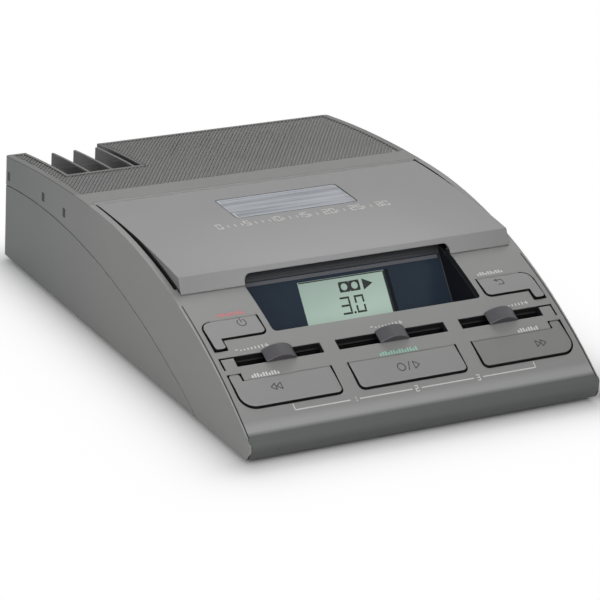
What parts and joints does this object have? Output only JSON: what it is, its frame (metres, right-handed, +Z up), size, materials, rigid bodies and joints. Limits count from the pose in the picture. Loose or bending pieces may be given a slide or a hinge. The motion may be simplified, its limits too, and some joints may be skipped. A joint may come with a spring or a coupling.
{
  "type": "dictation machine",
  "caption": "Desktop dictation machine with a sloped housing, hinged cassette lid with a window, recessed display, hinged keys, slide controls, ribbed rear grille and plug bays.",
  "frame": {"origin": "on the table, under the middle of the housing", "axes": "+Z up, -Y towards the user at the keys, +X to the user's right"},
  "size_m": [0.166, 0.241, 0.057],
  "materials": {
    "housing_grey": "fine-textured moulded plastic",
    "base_grey": "fine-textured moulded plastic",
    "lid_grey": "fine-textured moulded plastic",
    "grille_grey": "ribbed moulded plastic",
    "key_grey": "satin moulded plastic with white prints",
    "knob_dark": "ribbed moulded plastic",
    "lever_dark": "moulded plastic",
    "window_tint": "clear tinted plastic",
    "bezel_grey": "moulded plastic",
    "display_navy": "dark glossy panel",
    "lcd_green": "reflective liquid crystal panel",
    "deck_black": "moulded plastic",
    "steel": "bright steel",
    "head_chrome": "polished metal",
    "motor_can": "drawn steel can",
    "pot_steel": "folded steel",
    "pulley_brass": "turned brass",
    "pulley_nylon": "nylon",
    "wheel_black": "moulded plastic",
    "rubber_black": "matte rubber",
    "cassette_grey": "moulded plastic",
    "tape_brown": "wound tape on a hub",
    "board_green": "printed circuit board",
    "parts_black": "moulded electronic parts",
    "speaker_steel": "pressed steel",
    "magnet_iron": "ferrite and steel",
    "cone_paper": "pressed paper"
  },
  "bodies": {
    "housing": {"top_cover": "housing_grey", "base_tray": "base_grey", "rubber_feet": "rubber_black", "housing_screws": "steel", "rear_grille": "grille_grey", "deck_cover": "deck_black", "deck_plate": "steel", "deck_screws": "steel", "cassette_shell": "cassette_grey", "deck_shafts": "steel", "motor": "motor_can", "drive_belt": "rubber_black", "carriage_pins": "steel", "display_bezel": "bezel_grey", "display_glass": "display_navy", "lcd_panel": "lcd_green", "lcd_board": "board_green", "front_key_rod": "steel", "rear_key_rods": "steel", "key_mats": "rubber_black", "control_board": "board_green", "control_board_screws": "steel", "slide_pots": "pot_steel", "main_board": "board_green", "main_board_screws": "steel", "board_parts": "parts_black", "speaker_frame": "speaker_steel", "speaker_magnet": "magnet_iron", "speaker_cone": "cone_paper", "speaker_screws": "steel", "socket_board": "board_green", "headphone_socket": "parts_black", "pedal_socket": "parts_black", "power_inlet": "parts_black"},
    "lid": {"cassette_lid": "lid_grey", "lid_window": "window_tint", "lid_hinge_pins": "steel"},
    "power_key": {"power_key": "key_grey"},
    "search_key": {"search_key": "key_grey"},
    "rewind_key": {"rewind_key": "key_grey"},
    "play_key": {"play_key": "key_grey"},
    "wind_key": {"wind_key": "key_grey"},
    "speed_slide": {"speed_lever": "lever_dark", "speed_knob": "knob_dark"},
    "volume_slide": {"volume_lever": "lever_dark", "volume_knob": "knob_dark"},
    "tone_slide": {"tone_lever": "lever_dark", "tone_knob": "knob_dark"},
    "left_reel": {"left_turntable": "wheel_black", "left_tape_reel": "tape_brown"},
    "right_reel": {"right_turntable": "wheel_black", "right_tape_reel": "tape_brown"},
    "motor_rotor": {"motor_pulley": "pulley_brass"},
    "drive": {"drive_pulley": "pulley_nylon"},
    "idler_arm": {"idler_arm": "steel"},
    "idler": {"idler_wheel": "rubber_black"},
    "carriage": {"head_carriage": "steel", "sound_head": "head_chrome", "erase_head": "head_chrome"}
  },
  "joints": [
    {"name": "lid_hinge", "type": "hinge", "parent": "housing", "child": "lid", "pos_m": [0, 0.0311, 0.054], "axis": [-1, 0, 0], "range_deg": [0, 55]},
    {"name": "power_key_press", "type": "hinge", "parent": "housing", "child": "power_key", "pos_m": [0, -0.06598, 0.03484], "axis": [1, 0, 0], "range_deg": [0, 8], "stiffness_Nm_per_rad": 0.13, "springref_deg": -1.72},
    {"name": "search_key_press", "type": "hinge", "parent": "housing", "child": "search_key", "pos_m": [0, -0.06598, 0.03484], "axis": [1, 0, 0], "range_deg": [0, 8], "stiffness_Nm_per_rad": 0.13, "springref_deg": -1.72},
    {"name": "rewind_key_press", "type": "hinge", "parent": "housing", "child": "rewind_key", "pos_m": [0, -0.09522, 0.02065], "axis": [1, 0, 0], "range_deg": [0, 6.5], "stiffness_Nm_per_rad": 0.13, "springref_deg": -1.72},
    {"name": "play_key_press", "type": "hinge", "parent": "housing", "child": "play_key", "pos_m": [0, -0.09522, 0.02065], "axis": [1, 0, 0], "range_deg": [0, 6.5], "stiffness_Nm_per_rad": 0.13, "springref_deg": -1.72},
    {"name": "wind_key_press", "type": "hinge", "parent": "housing", "child": "wind_key", "pos_m": [0, -0.09522, 0.02065], "axis": [1, 0, 0], "range_deg": [0, 6.5], "stiffness_Nm_per_rad": 0.13, "springref_deg": -1.72},
    {"name": "speed_slide_move", "type": "slide", "parent": "housing", "child": "speed_slide", "axis": [1, 0, 0], "range_m": [-0.015, 0.015]},
    {"name": "volume_slide_move", "type": "slide", "parent": "housing", "child": "volume_slide", "axis": [1, 0, 0], "range_m": [-0.022, 0.022]},
    {"name": "tone_slide_move", "type": "slide", "parent": "housing", "child": "tone_slide", "axis": [1, 0, 0], "range_m": [-0.015, 0.015]},
    {"name": "left_reel_spin", "type": "hinge", "parent": "housing", "child": "left_reel", "pos_m": [-0.0125, 0.005, 0.041], "axis": [0, 0, 1], "continuous": true},
    {"name": "right_reel_spin", "type": "hinge", "parent": "housing", "child": "right_reel", "pos_m": [0.0125, 0.005, 0.041], "axis": [0, 0, 1], "continuous": true},
    {"name": "drive_spin", "type": "hinge", "parent": "housing", "child": "drive", "pos_m": [0, -0.02, 0.041], "axis": [0, 0, 1], "continuous": true},
    {"name": "motor_spin", "type": "hinge", "parent": "housing", "child": "motor_rotor", "pos_m": [0.03, -0.02, 0.038], "axis": [0, 0, 1], "continuous": true},
    {"name": "idler_swing", "type": "hinge", "parent": "housing", "child": "idler_arm", "pos_m": [0, -0.02, 0.04], "axis": [0, 0, 1], "range_deg": [-8, 8]},
    {"name": "idler_spin", "type": "hinge", "parent": "idler_arm", "child": "idler", "pos_m": [0, -0.008, 0.041], "axis": [0, 0, 1], "continuous": true},
    {"name": "carriage_move", "type": "slide", "parent": "housing", "child": "carriage", "axis": [0, 1, 0], "range_m": [0, 0.004], "stiffness_N_per_m": 100, "springref_m": -0.002}
  ],
  "couplings": [
    {"joint": "right_reel_spin", "follows": "left_reel_spin", "ratio": 1.2381},
    {"joint": "motor_spin", "follows": "drive_spin", "ratio": 2.5},
    {"joint": "idler_spin", "follows": "drive_spin", "ratio": -0.8871}
  ]
}
